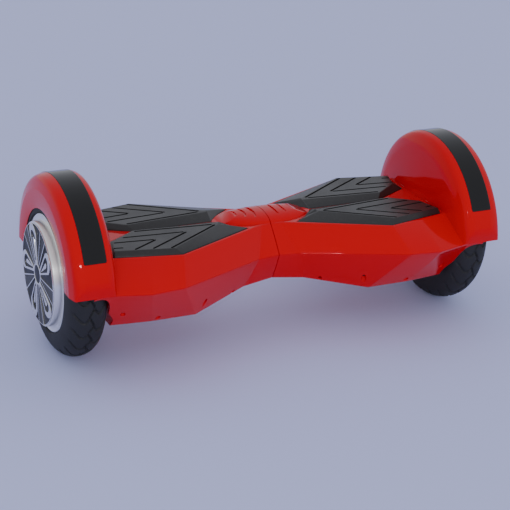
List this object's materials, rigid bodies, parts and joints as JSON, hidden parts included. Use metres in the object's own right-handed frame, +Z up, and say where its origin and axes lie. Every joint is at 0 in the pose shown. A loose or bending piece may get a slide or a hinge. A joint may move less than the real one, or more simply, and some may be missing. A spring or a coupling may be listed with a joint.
{
  "type": "self balancing hoverboard",
  "caption": "Two-wheeled self-balancing board: twisting halves on a waist pivot, sprung foot pads, arched fenders, hub-motor wheels.",
  "frame": {"origin": "on the floor, midway between the wheels and between front and rear", "axes": "+X along the wheel axis to the half with the charging socket, -Y the front, +Z up"},
  "size_m": [0.5604, 0.239, 0.2155],
  "materials": {
    "shell_red": "gloss injection-moulded ABS, clear coated",
    "lens_black": "high-gloss smoked polycarbonate",
    "light_strip": "white light-strip carrier",
    "pad_rubber": "semi-gloss moulded rubber",
    "cast_aluminium": "as-cast, bead blasted",
    "polished_aluminium": "polished",
    "spoke_trim": "silver-plated edges on gloss black",
    "tyre_rubber": "matt vulcanised rubber",
    "plain_steel": "turned",
    "dark_steel": "black oxide",
    "bronze": "sintered bronze",
    "motor_iron": "varnished laminations",
    "copper_wire": "enamelled copper",
    "magnet_nickel": "nickel plated",
    "circuit_board": "solder resist",
    "battery_wrap": "shrink wrap",
    "cable_sheath": "braided sleeve",
    "port_black": "fine-textured nylon",
    "cap_rubber": "soft rubber",
    "button_black": "satin"
  },
  "bodies": {
    "left_half": {"left_upper_shell": "shell_red", "left_lower_shell": "shell_red", "left_shell_screws": "dark_steel", "left_fender_lens": "lens_black", "left_light_strip": "light_strip", "left_waist_cover": "shell_red", "left_frame": "cast_aluminium", "left_axle": "plain_steel", "left_axle_clamp": "cast_aluminium", "left_clamp_bolts": "dark_steel", "left_stator": "motor_iron", "left_coils": "copper_wire", "left_sensor_board": "circuit_board", "pivot_tube": "plain_steel", "pivot_circlip": "plain_steel", "pivot_harness": "cable_sheath", "battery_case": "battery_wrap", "battery_cells": "plain_steel", "button_bezel": "port_black"},
    "right_half": {"right_upper_shell": "shell_red", "right_lower_shell": "shell_red", "right_shell_screws": "dark_steel", "right_fender_lens": "lens_black", "right_light_strip": "light_strip", "right_waist_cover": "shell_red", "right_frame": "cast_aluminium", "right_axle": "plain_steel", "right_axle_clamp": "cast_aluminium", "right_clamp_bolts": "dark_steel", "right_stator": "motor_iron", "right_coils": "copper_wire", "right_sensor_board": "circuit_board", "pivot_bushes": "bronze", "stop_pin": "plain_steel", "heat_sink": "cast_aluminium", "main_board": "circuit_board", "charge_socket": "port_black"},
    "left_wheel": {"left_hub": "polished_aluminium", "left_hub_cover": "cast_aluminium", "left_cover_screws": "dark_steel", "left_tyre": "tyre_rubber", "left_wheel_trim": "spoke_trim", "left_wheel_bearings": "plain_steel", "left_magnets": "magnet_nickel"},
    "left_front_pad": {"left_front_pad": "pad_rubber"},
    "left_rear_pad": {"left_rear_pad": "pad_rubber"},
    "right_wheel": {"right_hub": "polished_aluminium", "right_hub_cover": "cast_aluminium", "right_cover_screws": "dark_steel", "right_tyre": "tyre_rubber", "right_wheel_trim": "spoke_trim", "right_wheel_bearings": "plain_steel", "right_magnets": "magnet_nickel"},
    "right_front_pad": {"right_front_pad": "pad_rubber"},
    "right_rear_pad": {"right_rear_pad": "pad_rubber"},
    "button": {"power_button": "button_black"},
    "socket_cap": {"charge_cap": "cap_rubber"}
  },
  "joints": [
    {"name": "waist_twist", "type": "hinge", "parent": "left_half", "child": "right_half", "pos_m": [0, 0, 0.1], "axis": [1, 0, 0], "range_deg": [-12, 12]},
    {"name": "left_wheel_spin", "type": "hinge", "parent": "left_half", "child": "left_wheel", "pos_m": [-0.247, 0, 0.1], "axis": [1, 0, 0], "continuous": true},
    {"name": "right_wheel_spin", "type": "hinge", "parent": "right_half", "child": "right_wheel", "pos_m": [0.247, 0, 0.1], "axis": [1, 0, 0], "continuous": true},
    {"name": "left_front_pad_press", "type": "slide", "parent": "left_half", "child": "left_front_pad", "axis": [0, 0, -1], "range_m": [0, 0.002], "stiffness_N_per_m": 6000, "springref_m": -0.0005},
    {"name": "left_rear_pad_press", "type": "slide", "parent": "left_half", "child": "left_rear_pad", "axis": [0, 0, -1], "range_m": [0, 0.002], "stiffness_N_per_m": 6000, "springref_m": -0.0005},
    {"name": "right_front_pad_press", "type": "slide", "parent": "right_half", "child": "right_front_pad", "axis": [0, 0, -1], "range_m": [0, 0.002], "stiffness_N_per_m": 6000, "springref_m": -0.0005},
    {"name": "right_rear_pad_press", "type": "slide", "parent": "right_half", "child": "right_rear_pad", "axis": [0, 0, -1], "range_m": [0, 0.002], "stiffness_N_per_m": 6000, "springref_m": -0.0005},
    {"name": "power_button_press", "type": "slide", "parent": "left_half", "child": "button", "axis": [-0.3979, -0.8115, 0.428], "range_m": [0, 0.0008], "stiffness_N_per_m": 800, "springref_m": -0.0003},
    {"name": "socket_cap_swing", "type": "hinge", "parent": "right_half", "child": "socket_cap", "pos_m": [0.09119, 0.0891, 0.09986], "axis": [0.8979, 0.4402, 0], "range_deg": [0, 110]}
  ]
}
